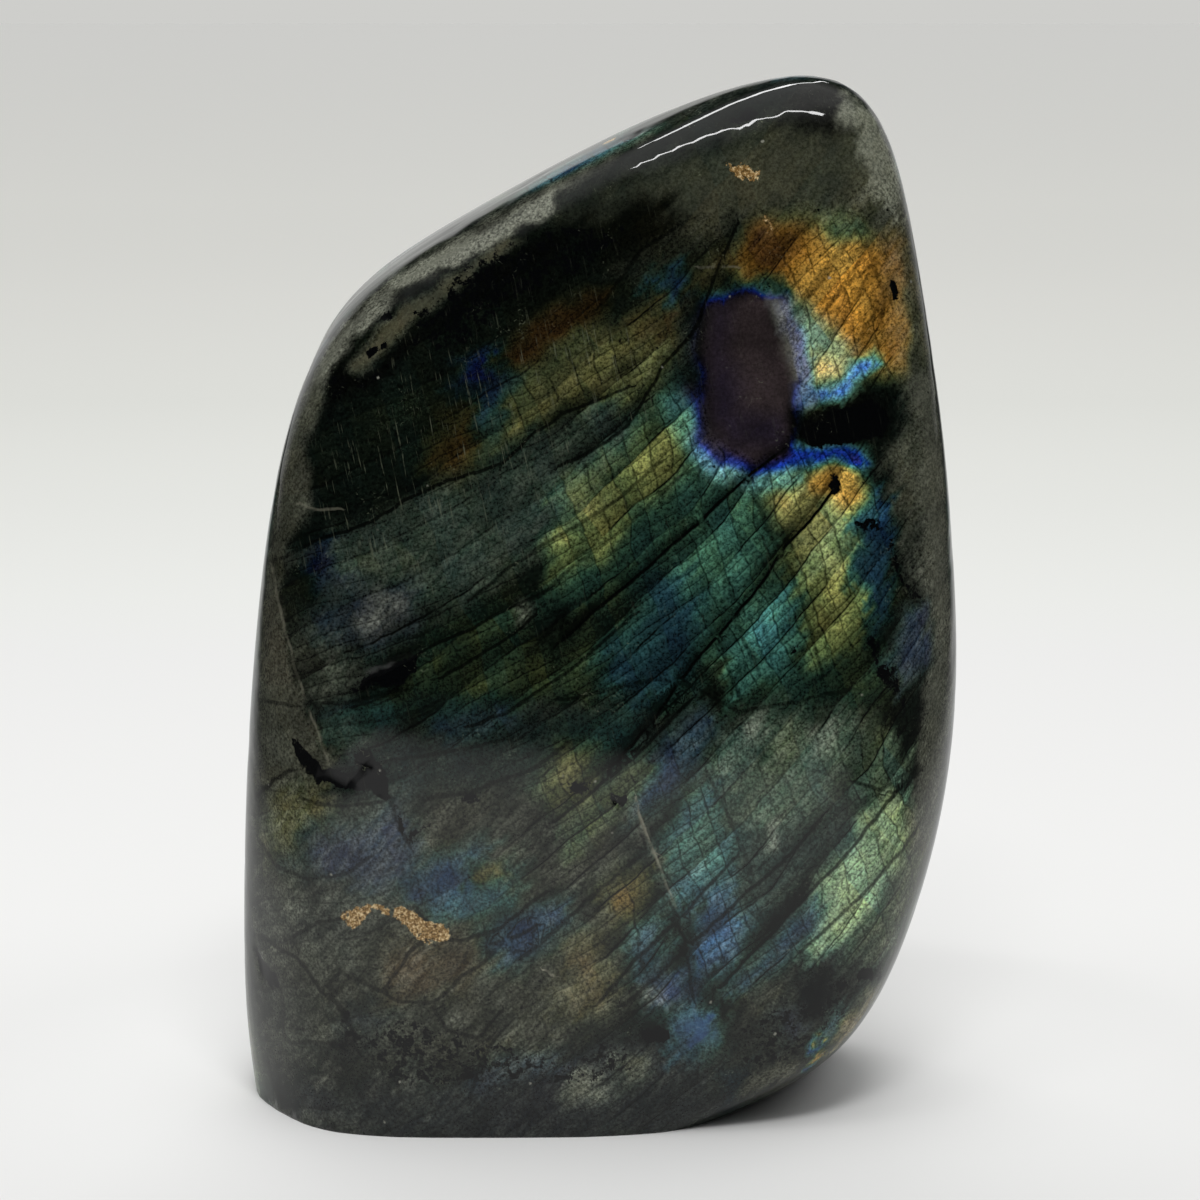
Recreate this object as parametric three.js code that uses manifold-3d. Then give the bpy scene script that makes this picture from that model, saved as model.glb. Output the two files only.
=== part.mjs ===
// A labradorite freeform: one piece of feldspar, sawn flat underneath so that it stands, and ground and
// polished all over. It is a single solid, in millimetres, with +Z up. The origin is the middle of its
// footprint: halfway across, halfway from front to back, on the sawn base. The broad face looks along -Y.
//
// A lapidary grinds such a stone one flat at a time, and then rounds the edges between the flats on soft
// belts. The model is made the same way: a ball of points is drawn in to the flats, the edges are polished
// by averaging each point with its neighbours, and the base is sawn off last.

import * as THREE from "three";
import { mergeVertices } from "three/addons/utils/BufferGeometryUtils.js";
import Module from "manifold-3d";

// Driving dimensions of the finished stone.
const WIDTH = 91;
const DEPTH = 52;
const HEIGHT = 130;

// The heart is the point inside the stone that every flat is measured from.
const HEART = new THREE.Vector3(2, 0, 0.47 * HEIGHT);

// How finely the skin is divided.
const SKIN_DETAIL = 20;

// How crisp the edges between the flats are left by the grinding, and how long they are then polished.
const CRISPNESS = 32;
const POLISH_PASSES = 8;
const POLISH_STRENGTH = 0.5;

// The rough is left this much too long underneath. The saw takes it off, which leaves a crisp edge around
// the base.
const SAW_ALLOWANCE = 12;

// The flats, each named for where it lies. facing is the compass direction that it looks in, in degrees:
// 0 is towards the viewer, 90 to the right, 180 to the back and -90 to the left. tilt is how far it looks
// up (or, if negative, down). reach is its distance from the heart in millimetres.
const FLATS = [
  { name: "broad face", facing: 0, tilt: 8, reach: 23.2 },
  { name: "broad face, foot", facing: -1, tilt: -2.2, reach: 26.2 },
  { name: "front left bevel", facing: -54, tilt: -2, reach: 46.3 },
  { name: "front right bevel", facing: 55, tilt: -3, reach: 40.8 },
  { name: "left flank", facing: -98, tilt: 2, reach: 47.1 },
  { name: "left flank, upper", facing: -96, tilt: 9.5, reach: 45.1 },
  { name: "left toe", facing: -84, tilt: -25, reach: 72.2 },
  { name: "left shoulder, lower", facing: -88, tilt: 18, reach: 49.3 },
  { name: "left shoulder", facing: -86, tilt: 38, reach: 56.5 },
  { name: "left shoulder, upper", facing: -86, tilt: 50, reach: 55.3 },
  { name: "long slope", facing: -84, tilt: 60, reach: 54.5 },
  { name: "long slope, upper", facing: -84, tilt: 66, reach: 57.3 },
  { name: "crown slope", facing: -82, tilt: 72, reach: 65.3 },
  { name: "crown", facing: -60, tilt: 86, reach: 77.4 },
  { name: "crown chamfer", facing: 88, tilt: 55, reach: 78.4 },
  { name: "right shoulder", facing: 88, tilt: 28, reach: 61 },
  { name: "right flank", facing: 95, tilt: 8.5, reach: 40.7 },
  { name: "right flank, lower", facing: 96, tilt: 4, reach: 41.8 },
  { name: "right belly", facing: 94, tilt: -7, reach: 42.5 },
  { name: "right hip", facing: 86, tilt: -20, reach: 47.3 },
  { name: "right hip, lower", facing: 76, tilt: -34, reach: 56.6 },
  { name: "right undercut", facing: 72, tilt: -52, reach: 63.2 },
  { name: "right heel", facing: 48, tilt: -62, reach: 62.9 },
  { name: "thumb facet", facing: -20, tilt: 50, reach: 54.2 },
  { name: "slope chamfer", facing: -30, tilt: 40, reach: 48.4 },
  { name: "back", facing: 176, tilt: 10, reach: 23.4 },
  { name: "back, foot", facing: 184, tilt: -4, reach: 25.6 },
  { name: "back left bevel", facing: -138, tilt: 3, reach: 38.5 },
  { name: "back right bevel", facing: 141, tilt: -3, reach: 36.5 },
  { name: "back slope chamfer", facing: -155, tilt: 41, reach: 47.5 },
  { name: "back crown facet", facing: 165, tilt: 48, reach: 54 },
];

// The direction that a flat looks in, as a unit vector.
function lookDirection({ facing, tilt }) {
  const turn = THREE.MathUtils.degToRad(facing);
  const lift = THREE.MathUtils.degToRad(tilt);
  return new THREE.Vector3(
    Math.sin(turn) * Math.cos(lift),
    -Math.cos(turn) * Math.cos(lift),
    Math.sin(lift),
  );
}

// The blank is a ball of evenly spread points, stretched to the stone's proportions.
function blank() {
  const ball = new THREE.IcosahedronGeometry(1, SKIN_DETAIL);
  ball.deleteAttribute("normal");
  ball.deleteAttribute("uv");
  ball.scale(WIDTH / 2, DEPTH / 2, HEIGHT / 2);
  return mergeVertices(ball, 1e-4);
}

// Grinding: each point of the skin moves along its ray from the heart to the nearest flat. Where two flats
// are nearly as near as each other both count, and the point comes in a little more, which eases the edge.
function grind(geometry) {
  const base = { facing: 0, tilt: -90, reach: HEART.z + SAW_ALLOWANCE };
  const flats = [...FLATS, base].map((flat) => ({ look: lookDirection(flat), reach: flat.reach }));
  const skin = geometry.getAttribute("position");
  const ray = new THREE.Vector3();
  for (let i = 0; i < skin.count; i++) {
    ray.fromBufferAttribute(skin, i);
    let crowding = 0;
    for (const { look, reach } of flats) {
      crowding += Math.max(0, look.dot(ray) / reach) ** CRISPNESS;
    }
    ray.multiplyScalar(crowding ** (-1 / CRISPNESS)).add(HEART);
    skin.setXYZ(i, ray.x, ray.y, ray.z);
  }
}

// For each point of the skin, the points that it shares a triangle's edge with.
function neighbours(geometry) {
  const near = Array.from({ length: geometry.getAttribute("position").count }, () => new Set());
  const { array } = geometry.index;
  for (let i = 0; i < array.length; i += 3) {
    const corners = [array[i], array[i + 1], array[i + 2]];
    for (const a of corners) {
      for (const b of corners) {
        if (a !== b) near[a].add(b);
      }
    }
  }
  return near;
}

// Polishing: every pass draws each point part of the way to the middle of its neighbours, which leaves
// the flats flat and rounds the edges between them.
function polish(geometry) {
  const near = neighbours(geometry);
  const skin = geometry.getAttribute("position");
  for (let pass = 0; pass < POLISH_PASSES; pass++) {
    const before = skin.array.slice();
    near.forEach((others, i) => {
      for (let axis = 0; axis < 3; axis++) {
        let sum = 0;
        for (const j of others) sum += before[3 * j + axis];
        const own = before[3 * i + axis];
        skin.array[3 * i + axis] = own + POLISH_STRENGTH * (sum / others.size - own);
      }
    });
  }
}

// manifold-3d makes the one cut.
const wasm = await Module();
wasm.setup();

function toSolid(geometry) {
  const bare = new THREE.BufferGeometry();
  bare.setAttribute("position", geometry.getAttribute("position"));
  bare.setIndex(geometry.index);
  const merged = mergeVertices(bare, 1e-4);
  return new wasm.Manifold(
    new wasm.Mesh({
      numProp: 3,
      vertProperties: merged.getAttribute("position").array,
      triVerts: new Uint32Array(merged.index.array),
    }),
  );
}

function toGeometry(solid) {
  const { numVert, numProp, vertProperties, triVerts } = solid.getMesh();
  const points = new Float32Array(numVert * 3);
  for (let i = 0; i < numVert; i++) {
    points.set(vertProperties.subarray(i * numProp, i * numProp + 3), i * 3);
  }
  const geometry = new THREE.BufferGeometry();
  geometry.setAttribute("position", new THREE.BufferAttribute(points, 3));
  geometry.setIndex(new THREE.BufferAttribute(triVerts, 1));
  geometry.computeVertexNormals();
  return geometry;
}

// Sawing: everything below the base plane comes off, in one flat cut.
function saw(geometry) {
  const waste = new THREE.BoxGeometry(2 * WIDTH, 2 * DEPTH, HEIGHT);
  waste.deleteAttribute("normal");
  waste.deleteAttribute("uv");
  waste.translate(0, 0, -HEIGHT / 2);
  return toGeometry(toSolid(geometry).subtract(toSolid(mergeVertices(waste))));
}

// The stone is slid along the ground until the origin is in the middle of its footprint.
function centre(geometry) {
  geometry.computeBoundingBox();
  const middle = geometry.boundingBox.getCenter(new THREE.Vector3());
  return geometry.translate(-middle.x, -middle.y, 0);
}

function makeStone() {
  const skin = blank();
  grind(skin);
  polish(skin);
  const polishedFeldspar = new THREE.MeshStandardMaterial({
    color: 0x2b302c,
    roughness: 0.12,
    metalness: 0,
  });
  const stone = new THREE.Mesh(centre(saw(skin)), polishedFeldspar);
  stone.name = "labradorite_stone";
  return stone;
}

const freeform = new THREE.Group();
freeform.add(makeStone());

export default freeform;
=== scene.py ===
# %% [markdown]
# # A labradorite freeform
# A slab of labradorite feldspar, ground to a free shape, sawn flat underneath so that it stands by itself,
# and polished until it mirrors the room. The solid comes from the imported part, in metres. This file gives
# it the skin of a real stone: a clean polish, and below it the cleavage, the cracks and the colours that
# flash from thin layers.

# %% The frame: the imported part, and the box round it
import math

import bpy
import numpy as np
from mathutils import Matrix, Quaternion, Vector, noise


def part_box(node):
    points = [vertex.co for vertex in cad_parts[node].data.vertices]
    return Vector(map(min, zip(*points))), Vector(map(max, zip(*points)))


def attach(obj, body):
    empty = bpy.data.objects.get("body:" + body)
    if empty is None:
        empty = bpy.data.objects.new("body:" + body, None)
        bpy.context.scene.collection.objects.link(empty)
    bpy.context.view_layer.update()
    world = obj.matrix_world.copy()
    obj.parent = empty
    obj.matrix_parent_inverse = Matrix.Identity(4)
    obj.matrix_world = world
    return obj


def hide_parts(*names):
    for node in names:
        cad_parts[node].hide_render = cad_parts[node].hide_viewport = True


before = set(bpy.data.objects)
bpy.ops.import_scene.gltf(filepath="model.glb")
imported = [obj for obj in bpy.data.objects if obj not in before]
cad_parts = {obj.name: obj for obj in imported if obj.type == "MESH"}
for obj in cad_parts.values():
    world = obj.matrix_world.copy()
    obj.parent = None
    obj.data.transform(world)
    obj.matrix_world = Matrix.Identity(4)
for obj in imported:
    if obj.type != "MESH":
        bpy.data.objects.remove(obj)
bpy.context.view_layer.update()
stone_low, stone_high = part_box("labradorite_stone")
print("the solid reaches from", [round(v, 4) for v in stone_low], "to", [round(v, 4) for v in stone_high])

# %% [markdown]
# ## The camera
# The picture looks a little down on the broad face. A long lens from less than half a metre keeps the
# outline upright, as in product photographs. A camera is placed by where it stands, how far it is tipped,
# and its lens.

# %% The camera
MM = 0.001
PICTURE_SIDE = 1200
LENS = 100 * MM
SENSOR = 36 * MM
CAMERA_PLACE = Vector((0.5 * MM, -415.4 * MM, 136.5 * MM))
CAMERA_TIP = math.radians(10)

bpy.ops.object.select_all(action="DESELECT")
bpy.ops.object.camera_add(location=CAMERA_PLACE, rotation=(math.radians(90) - CAMERA_TIP, 0, 0))
camera = bpy.context.object
camera.name = "picture_camera"
camera.data.lens = LENS / MM
camera.data.sensor_width = SENSOR / MM
bpy.context.scene.camera = camera
bpy.context.scene.view_settings.view_transform = "Standard"
print("camera", round(CAMERA_PLACE.length, 3), "m from the middle of the base")

# %% [markdown]
# ## Wiring a material
# A procedural material is a small circuit: sockets are joined, and numbers run from left to right. These
# helpers add one box each and return its outgoing socket, so that the recipe for a finish reads like a list
# of sums.


# %% Helpers for wiring nodes
class Circuit:
    """The node tree of one material or world, with a short name for each kind of box that is used here."""

    def __init__(self, owner):
        owner.use_nodes = True
        self.tree = owner.node_tree
        self.tree.nodes.clear()

    def box(self, kind, feeds, **settings):
        added = self.tree.nodes.new(kind)
        for name, value in settings.items():
            setattr(added, name, value)
        for socket, value in feeds.items():
            self.feed(added.inputs[socket], value)
        return added

    def feed(self, socket, value):
        if isinstance(value, bpy.types.NodeSocket):
            self.tree.links.new(value, socket)
        else:
            socket.default_value = value

    def sum(self, operation, a, b=0.0, c=0.0):
        return self.box("ShaderNodeMath", {0: a, 1: b, 2: c}, operation=operation).outputs[0]

    def step(self, value, low, high, to_low=0.0, to_high=1.0):
        """Follows a value smoothly from to_low, where it is low, to to_high, where it is high."""
        feeds = {"Value": value, "From Min": low, "From Max": high, "To Min": to_low, "To Max": to_high}
        return self.box("ShaderNodeMapRange", feeds, interpolation_type="SMOOTHSTEP").outputs[0]

    def blend(self, amount, a, b):
        """Mixes two colours."""
        added = self.box("ShaderNodeMix", {}, data_type="RGBA")
        for socket, value in zip((added.inputs[0], added.inputs[6], added.inputs[7]), (amount, a, b)):
            self.feed(socket, value)
        return added.outputs[2]

    def place(self, x, y, z):
        return self.box("ShaderNodeCombineXYZ", {0: x, 1: y, 2: z}).outputs[0]

    def ramp(self, value, stops):
        """A colour ramp with its stops as (place, colour)."""
        added = self.box("ShaderNodeValToRGB", {"Fac": value})
        strip = added.color_ramp
        while len(strip.elements) > 1:
            strip.elements.remove(strip.elements[-1])
        strip.elements[0].position = stops[0][0]
        strip.elements[0].color = (*stops[0][1], 1)
        for at, colour in stops[1:]:
            strip.elements.new(at).color = (*colour, 1)
        return added.outputs[0]

    def speckle(self, place, scale, detail=2.0, roughness=0.5):
        feeds = {"Vector": place, "Scale": scale, "Detail": detail, "Roughness": roughness}
        return self.box("ShaderNodeTexNoise", feeds).outputs[0]

    def cells(self, place, scale):
        return self.box("ShaderNodeTexVoronoi", {"Vector": place, "Scale": scale})


def screen(*rgb):
    """Turns a colour as seen on a screen, 0 to 255, into the linear light that a shader uses."""
    return tuple((v / 255 / 12.92) if v <= 10 else ((v / 255 + 0.055) / 1.055) ** 2.4 for v in rgb)


# %% [markdown]
# ## The light
# The photograph has a pale strip of paper, soft light from high above, and a dark room in front and to the
# sides. A polished stone shows what stands around it: the paper puts a grey veil on the lower face, which
# leans out a little, the dark room leaves the upper face, which leans back, black and full of colour, and
# the flanks stay dark up to a thin pale edge. The world is therefore pale above and behind and dark
# elsewhere, and only the camera sees it as plain grey paper.

# %% The world
PAPER_FAR = screen(206, 206, 203)
DARK_ROOM = (*screen(16, 17, 18), 1)

world = bpy.data.worlds.new("soft_room")
bpy.context.scene.world = world
room = Circuit(world)
towards = room.box("ShaderNodeNewGeometry", {}).outputs["Incoming"]
look = room.box("ShaderNodeSeparateXYZ", {"Vector": towards})
# In a world, Incoming is the direction of a ray alone, so the room stays where it is in every view. It points
# back along the ray, so its signs are the other way round.
from_behind = room.step(look.outputs["Y"], -0.15, -0.9)
from_above = room.step(look.outputs["Z"], -0.36, -0.92)
wall = room.blend(from_behind, DARK_ROOM, (0.84, 0.84, 0.82, 1))
around = room.blend(from_above, wall, (1.0, 1.0, 1.0, 1))
# Dark flags hang around the ceiling light: they cost little light, but the polish mirrors them.
rays = room.box("ShaderNodeLightPath", {}).outputs
flags = room.sum("MULTIPLY", rays["Is Glossy Ray"], room.step(look.outputs["Z"], -0.3, -0.45))
flags = room.sum("MULTIPLY", flags, room.step(look.outputs["Z"], -0.97, -0.7))
around = room.blend(flags, around, DARK_ROOM)
seen = rays["Is Camera Ray"]
colour = room.blend(seen, around, (*PAPER_FAR, 1))
glow = room.box("ShaderNodeBackground", {"Color": colour, "Strength": 1.0})
room.box("ShaderNodeOutputWorld", {"Surface": glow.outputs[0]})
print("world:", len(world.node_tree.nodes), "boxes")


# %% The lamps
STONE_MIDDLE = Vector((0, 0, 60 * MM))


def lamp(name, place, width, depth, watts, roll=0):
    """A soft rectangular light that faces the middle of the stone. roll lifts its right end, in degrees."""
    turn = (STONE_MIDDLE - Vector(place)).to_track_quat("-Z", "Y") @ Quaternion((0, 0, 1), math.radians(roll))
    turn = turn.to_euler()
    bpy.ops.object.light_add(type="AREA", location=place, rotation=turn)
    light = bpy.context.object
    light.name = name
    light.data.shape = "RECTANGLE"
    light.data.size = width
    light.data.size_y = depth
    light.data.energy = watts
    return light


# The broad box gives the soft light. It is kept out of the polish, where the two thin strips draw the
# bright lines.
broad_box = lamp("key_softbox", (0.02, -0.64, 0.88), 0.50, 0.16, 3.3, roll=30)
broad_box.visible_glossy = False
lamp("edge_strip", (-0.06, -0.48, 1.06), 0.66, 0.035, 1.9, roll=-20)
lamp("top_strip", (-0.04, 0.50, 0.86), 0.60, 0.045, 1.3, roll=25)

# %% [markdown]
# ## The table
# A strip of pale matt paper on a dark table, flat all the way back. Its tone is painted by distance, a
# painted
# light and shade: under the lamps it is white by the stone and turns slowly grey behind it, as paper does
# where it curves up out of the light. It widens towards the back, so that its edges stay out of the picture;
# the dark table beside it is seen only in the flanks of the stone.

# %% The table
bpy.ops.object.select_all(action="DESELECT")
bpy.ops.mesh.primitive_plane_add(size=2, location=(0, 0, 0))
table = bpy.context.object
table.name = "paper_table"
table.scale = (40, 40, 1)
bpy.ops.object.transform_apply(location=True, rotation=False, scale=True)

PAPER_TONE_START = 0.29
PAPER_EDGE = (0.26, 0.42)
PAPER_FRONT = (-0.3, -0.8)
CAMERA_GAP = -CAMERA_PLACE.y
paper = bpy.data.materials.new("pale_paper")
sheet = Circuit(paper)
where = sheet.box("ShaderNodeTexCoord", {}).outputs["Object"]
spot = sheet.box("ShaderNodeSeparateXYZ", {"Vector": where})
behind = spot.outputs["Y"]
nearness = sheet.sum("DIVIDE", PAPER_TONE_START, sheet.sum("MAXIMUM", behind, PAPER_TONE_START))
# The paper's tone by distance behind the stone is painted light and shade, set against the lamps' fall-off.
tone = sheet.ramp(
    nearness,
    [
        (0.0, screen(244, 244, 241)),
        (0.06, screen(246, 246, 242)),
        (0.14, screen(249, 249, 244)),
        (0.24, screen(246, 246, 241)),
        (0.38, screen(236, 237, 232)),
        (0.56, screen(234, 235, 231)),
        (0.8, screen(235, 236, 233)),
        (1.0, screen(235, 235, 234)),
    ],
)
reach = sheet.sum("ADD", sheet.sum("MAXIMUM", behind, 0.0), CAMERA_GAP)
beside = sheet.sum("DIVIDE", sheet.sum("ABSOLUTE", spot.outputs["X"]), reach)
paper_ends = sheet.sum("MAXIMUM", sheet.step(beside, *PAPER_EDGE), sheet.step(behind, *PAPER_FRONT))
tone = sheet.blend(paper_ends, tone, (*screen(70, 70, 70), 1))
# In front of the stone and under it the paper is painted 5 % darker, a painted shade.
painted_shade_and_light = sheet.step(behind, 0.085, 0.0, 1.0, 0.95)
# In an oval round the stone the paper is painted up to 12 % paler, a painted light that thins the stone's
# real shadow on it.
OVAL_ROUND_STONE = (1.0, 1.25, 0.0)
stretched = {0: where, 1: OVAL_ROUND_STONE}
from_stone = sheet.box("ShaderNodeVectorMath", stretched, operation="MULTIPLY").outputs[0]
from_stone = sheet.box("ShaderNodeVectorMath", {0: from_stone}, operation="LENGTH").outputs["Value"]
painted_shade_and_light = sheet.sum("MULTIPLY", painted_shade_and_light, sheet.step(from_stone, 0.045, 0.092, 1.12, 1.0))
tone = sheet.box("ShaderNodeVectorMath", {0: tone, "Scale": painted_shade_and_light}, operation="SCALE").outputs[0]
matt = {"Base Color": tone, "Roughness": 0.9, "Specular IOR Level": 0.1}
paper_shader = sheet.box("ShaderNodeBsdfPrincipled", matt)
sheet.box("ShaderNodeOutputMaterial", {"Surface": paper_shader.outputs[0]})
table.data.materials.append(paper)
print("table:", [round(v, 2) for v in table.dimensions])

# %% [markdown]
# ## The skin of the stone
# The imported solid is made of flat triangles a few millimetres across, which would show as facets in the
# polish. A copy of it is merged into one skin, subdivided, and relaxed, as a lapidary's last soft belt
# does. The sawn base keeps its crisp edge: its rim is creased, and only the points above it are relaxed.

# %% One skin, copied from the solid
bpy.ops.object.select_all(action="DESELECT")
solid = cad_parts["labradorite_stone"]
stone = bpy.data.objects.new("polished_stone", solid.data.copy())
bpy.context.scene.collection.objects.link(stone)
stone.data.materials.clear()
stone.select_set(True)
bpy.context.view_layer.objects.active = stone


def count(piece):
    return f"{len(piece.data.vertices)} points, {len(piece.data.polygons)} faces"


bpy.ops.object.mode_set(mode="EDIT")
bpy.ops.mesh.select_all(action="SELECT")
bpy.ops.mesh.remove_doubles(threshold=0.02 * MM)
bpy.ops.mesh.select_all(action="DESELECT")
bpy.ops.object.mode_set(mode="OBJECT")
print("merged skin:", count(stone))

# %% The base as one face with a creased rim
BASE_DEPTH = 0.05 * MM

for face in stone.data.polygons:
    face.select = all(stone.data.vertices[i].co.z < BASE_DEPTH for i in face.vertices)
print("faces in the sawn base:", sum(face.select for face in stone.data.polygons))
bpy.ops.object.mode_set(mode="EDIT")
bpy.ops.mesh.select_mode(type="FACE")
bpy.ops.mesh.dissolve_faces()
bpy.ops.mesh.region_to_loop()
bpy.ops.transform.edge_crease(value=1)
bpy.ops.mesh.select_all(action="DESELECT")
bpy.ops.object.mode_set(mode="OBJECT")

# %% Subdivide, and relax all but the base
RELAX_PASSES = (26, 36)


def apply_modifier(piece, kind, **settings):
    added = piece.modifiers.new(kind.lower(), kind)
    for name, value in settings.items():
        setattr(added, name, value)
    bpy.context.view_layer.objects.active = piece
    bpy.ops.object.modifier_apply(modifier=added.name)


for passes in RELAX_PASSES:
    apply_modifier(stone, "SUBSURF", levels=1, render_levels=1)
    above = stone.vertex_groups.new(name="above_base")
    above.add([v.index for v in stone.data.vertices if v.co.z > BASE_DEPTH], 1.0, "REPLACE")
    apply_modifier(stone, "SMOOTH", factor=0.5, iterations=passes, vertex_group="above_base")
    stone.vertex_groups.clear()
bpy.ops.object.shade_smooth_by_angle(angle=math.radians(35))
print("relaxed skin:", count(stone))

# %% [markdown]
# ## Where the colours lie
# The colours of labradorite are not paint. They come from layers inside the stone, thinner than a soap
# film, and each thickness gives back one colour: thin layers violet and blue, thicker ones green, then gold
# and orange. So the skin carries two numbers at each point instead of a colour: the order, which is how
# thick the layers are, and the glow, which is how strongly they shine. Where the order changes from place
# to place, all the colours between appear by themselves, as the blue rim around the plum-coloured island
# does. A third number, milk, is how cloudy the stone is there; on the long slope it also paints a pale
# reflection of the polish into the colour. They are laid down like vertex paint, patch after patch, with a
# brush whose edge is hard or soft.

# %% Each point of the skin, as the picture shows it
PICTURE_SCALE = PICTURE_SIDE * LENS / SENSOR


def point_values(piece, kind, width=3):
    values = np.empty(len(piece.data.vertices) * width)
    piece.data.vertices.foreach_get(kind, values)
    return values.reshape(-1, width)


def seen_at(points):
    """The place of each point in the picture, in pixels from its top left corner."""
    forward = np.array((0, math.cos(CAMERA_TIP), -math.sin(CAMERA_TIP)))
    upward = np.array((0, math.sin(CAMERA_TIP), math.cos(CAMERA_TIP)))
    away = points - np.array(CAMERA_PLACE)
    depth = away @ forward
    across = PICTURE_SIDE / 2 + PICTURE_SCALE * away[:, 0] / depth
    down = PICTURE_SIDE / 2 - PICTURE_SCALE * (away @ upward) / depth
    return np.stack((across, down), axis=1)


def ease(values, low, high):
    t = np.clip((values - low) / (high - low), 0, 1)
    return t * t * (3 - 2 * t)


points = point_values(stone, "co")
facing = point_values(stone, "normal")
pixels = seen_at(points)
PIXELS_PER_MM = PICTURE_SCALE * MM / (abs(CAMERA_PLACE.y) + stone_low[1])
on_front = ease(-facing[:, 1], 0.2, 0.55)
print("points on the broad face:", int((on_front > 0.5).sum()))
print("pixels per mm:", round(PIXELS_PER_MM, 2))


# %% Wavering, so that no patch has a straight edge
def waver(points_mm, size, seed):
    """Smooth noise from -1 to 1 at each point, with waves of about the given size in millimetres."""
    shift = Vector((seed * 17.3, seed * 5.1, seed * 9.7))
    return np.array([noise.noise(Vector(p) / size + shift) for p in points_mm])


# The sizes of the waves, in millimetres.
COARSE_WAVES = 9
FINE_WAVES = 2.6

points_mm = points / MM
coarse_waver = np.stack((waver(points_mm, COARSE_WAVES, 1), waver(points_mm, COARSE_WAVES, 2)), axis=1)
fine_waver = np.stack((waver(points_mm, FINE_WAVES, 3), waver(points_mm, FINE_WAVES, 4)), axis=1)
# The calm brush is for the island and the flame, whose outlines are the clearest in the picture.
smooth_brush = pixels + 8 * coarse_waver + 7 * fine_waver
calm_brush = pixels + 6 * coarse_waver + 2.5 * fine_waver

# %% [markdown]
# The stone splits along sheets that climb to the right, and climb more steeply the further right they are.
# The colours end along the same sheets, in feathered edges. So the brush for the plates is pulled to and
# fro along them, by noise that is long along the sheets and short across them.

# %% The lie of the sheets, and the feathered brush
SHEET_SLOPE = 0.86
SHEET_BEND = 0.0068
# The streaks are measured in millimetres, and how far they pull the brush in pixels.
STREAK_LENGTH = 9
STREAK_WIDTH = 1.5
FEATHER_PIXELS = 20

climb = np.arctan(SHEET_SLOPE + 2 * SHEET_BEND * points_mm[:, 0])
sheet_height = points_mm[:, 2] - points_mm[:, 0] * (SHEET_SLOPE + SHEET_BEND * points_mm[:, 0])
along_sheet = points_mm[:, 0] * np.cos(climb) + points_mm[:, 2] * np.sin(climb)
streak_sizes = (along_sheet / STREAK_LENGTH, points_mm[:, 1] / STREAK_LENGTH, sheet_height / STREAK_WIDTH)
streak_place = np.stack(streak_sizes, axis=1)
streaks = waver(streak_place, 1, 5) + 0.6 * waver(streak_place * 2.3, 1, 6)
up_the_sheets = np.stack((np.cos(climb), -np.sin(climb)), axis=1)
feathered_brush = smooth_brush + (FEATHER_PIXELS * streaks)[:, None] * up_the_sheets
print("sheets climb (degrees) from", round(math.degrees(climb.min())), "to", round(math.degrees(climb.max())))


# %% How far each point is from an outline or a line
def to_segment(places, start, end):
    """Distance to one straight piece, and on which side of it each place lies."""
    start, end = np.array(start, float), np.array(end, float)
    run = end - start
    t = np.clip(((places - start) @ run) / (run @ run), 0, 1)
    gap = places - (start + t[:, None] * run)
    side = np.sign(run[0] * gap[:, 1] - run[1] * gap[:, 0])
    return np.hypot(gap[:, 0], gap[:, 1]), np.where(side == 0, 1, side)


def to_outline(places, corners):
    """Distance to a closed outline, negative inside it."""
    nearest = np.full(len(places), np.inf)
    inside = np.zeros(len(places), bool)
    for (x0, y0), (x1, y1) in zip(corners, corners[1:] + corners[:1]):
        nearest = np.minimum(nearest, to_segment(places, (x0, y0), (x1, y1))[0])
        if y0 != y1:
            crosses = (places[:, 1] < y0) != (places[:, 1] < y1)
            inside ^= crosses & (places[:, 0] < x0 + (places[:, 1] - y0) * (x1 - x0) / (y1 - y0))
    return np.where(inside, -nearest, nearest)


# %% [markdown]
# ## The patches
# Each row is one patch of the broad face: its name, what it sets, how soft its edge is in pixels, and its
# corners as pixels of the picture. A patch sets the order and the glow, or one of the grounds: milk, dark
# (black iron minerals), gold (rusty and brassy mineral), needles (fine pale scratches left by the
# grinding), and cleft (how plainly the cleavage sheets show). They were placed one by one. Later patches
# lie over earlier ones.

# %% How plainly the sheets show
GROUND = [
    ("cleaved middle", dict(cleft=1.0), 40,
     [(290, 560), (480, 440), (640, 330), (700, 440), (880, 470), (900, 700), (600, 730), (300, 720)]),
    ("smoother plate on the left", dict(cleft=0.35), 30,
     [(310, 540), (460, 480), (560, 440), (610, 490), (520, 560), (420, 620), (300, 640)]),
    ("cleaved lower right", dict(cleft=0.8), 40,
     [(560, 720), (900, 690), (920, 800), (820, 970), (640, 1000), (520, 860)]),
    ("streaked flame", dict(cleft=0.5), 30, [(740, 240), (900, 210), (920, 380), (800, 390), (740, 300)]),
    ("smooth crown", dict(cleft=0.05), 30,
     [(500, 240), (640, 100), (900, 60), (910, 200), (740, 225), (600, 260)]),
    ("dull lower left", dict(cleft=0.3), 30,
     [(240, 740), (500, 740), (560, 1000), (400, 1140), (240, 1140)]),
]

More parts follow.
